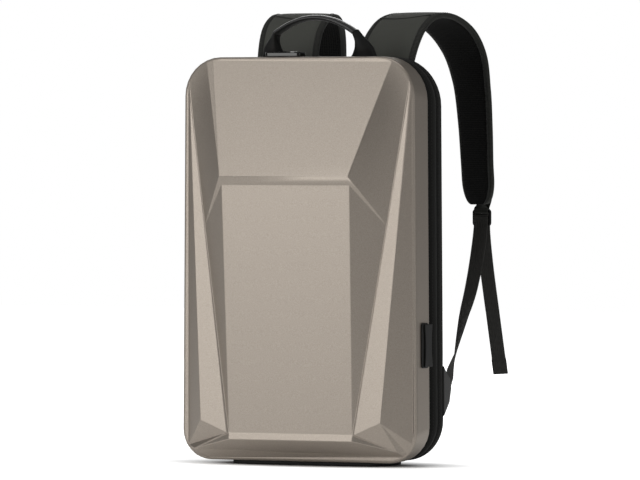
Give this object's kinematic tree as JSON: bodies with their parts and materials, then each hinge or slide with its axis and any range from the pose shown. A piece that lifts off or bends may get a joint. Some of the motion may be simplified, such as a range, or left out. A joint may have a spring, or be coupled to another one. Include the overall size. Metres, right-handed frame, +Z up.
{
  "type": "hard shell backpack",
  "caption": "Upright backpack with a faceted hard shell front zipped to a black fabric body, with a lock, a top handle and padded shoulder straps",
  "frame": {"origin": "middle of the underside of the base pad, on the floor that the bag stands on", "axes": "+X to the right seen from the front, +Y back towards the wearer, +Z up"},
  "size_m": [0.2963, 0.3478, 0.5159],
  "materials": {
    "shell": "moulded plastic with a satin metallic champagne grey coat",
    "zip_tape": "woven black zip tape",
    "fabric": "tightly woven black nylon",
    "back_mesh": "black spacer mesh over foam",
    "strap_fabric": "charcoal woven nylon over foam",
    "webbing": "ribbed charcoal nylon webbing",
    "rubber": "matt black rubber",
    "black_plastic": "satin black moulded plastic",
    "chrome": "polished chrome plate"
  },
  "bodies": {
    "bag": {"shell_wall": "shell", "shell_front_upper": "shell", "shell_front_lower": "shell", "zip_tape": "zip_tape", "zip_teeth": "black_plastic", "gusset": "fabric", "rear_band": "fabric", "back_panel": "back_mesh", "base_pad": "rubber", "lock_housing": "chrome", "zip_puller_left": "chrome", "zip_puller_right": "chrome", "handle_grip": "fabric", "handle_foot_right": "rubber", "handle_foot_left": "rubber", "port_frame": "rubber", "port_cover": "rubber", "strap_right": "strap_fabric", "strap_left": "strap_fabric", "buckle_right": "black_plastic", "buckle_left": "black_plastic", "buckle_loop_right": "strap_fabric", "buckle_loop_left": "strap_fabric", "anchor_tab_right": "fabric", "anchor_tab_left": "fabric", "webbing_right": "webbing", "webbing_left": "webbing", "webbing_tail_right": "webbing", "webbing_tail_left": "webbing"},
    "dial_1": {"lock_dial_1": "black_plastic"},
    "dial_2": {"lock_dial_2": "black_plastic"},
    "dial_3": {"lock_dial_3": "black_plastic"},
    "button": {"lock_button": "chrome"}
  },
  "joints": [
    {"name": "dial_1_turn", "type": "hinge", "parent": "bag", "child": "dial_1", "pos_m": [-0.04064, -0.027, 0.4648], "axis": [1, 0, 0], "continuous": true},
    {"name": "dial_2_turn", "type": "hinge", "parent": "bag", "child": "dial_2", "pos_m": [-0.03444, -0.027, 0.4648], "axis": [1, 0, 0], "continuous": true},
    {"name": "dial_3_turn", "type": "hinge", "parent": "bag", "child": "dial_3", "pos_m": [-0.02824, -0.027, 0.4648], "axis": [1, 0, 0], "continuous": true},
    {"name": "button_slide", "type": "slide", "parent": "bag", "child": "button", "axis": [1, 0, 0], "range_m": [0, 0.003], "stiffness_N_per_m": 200}
  ]
}
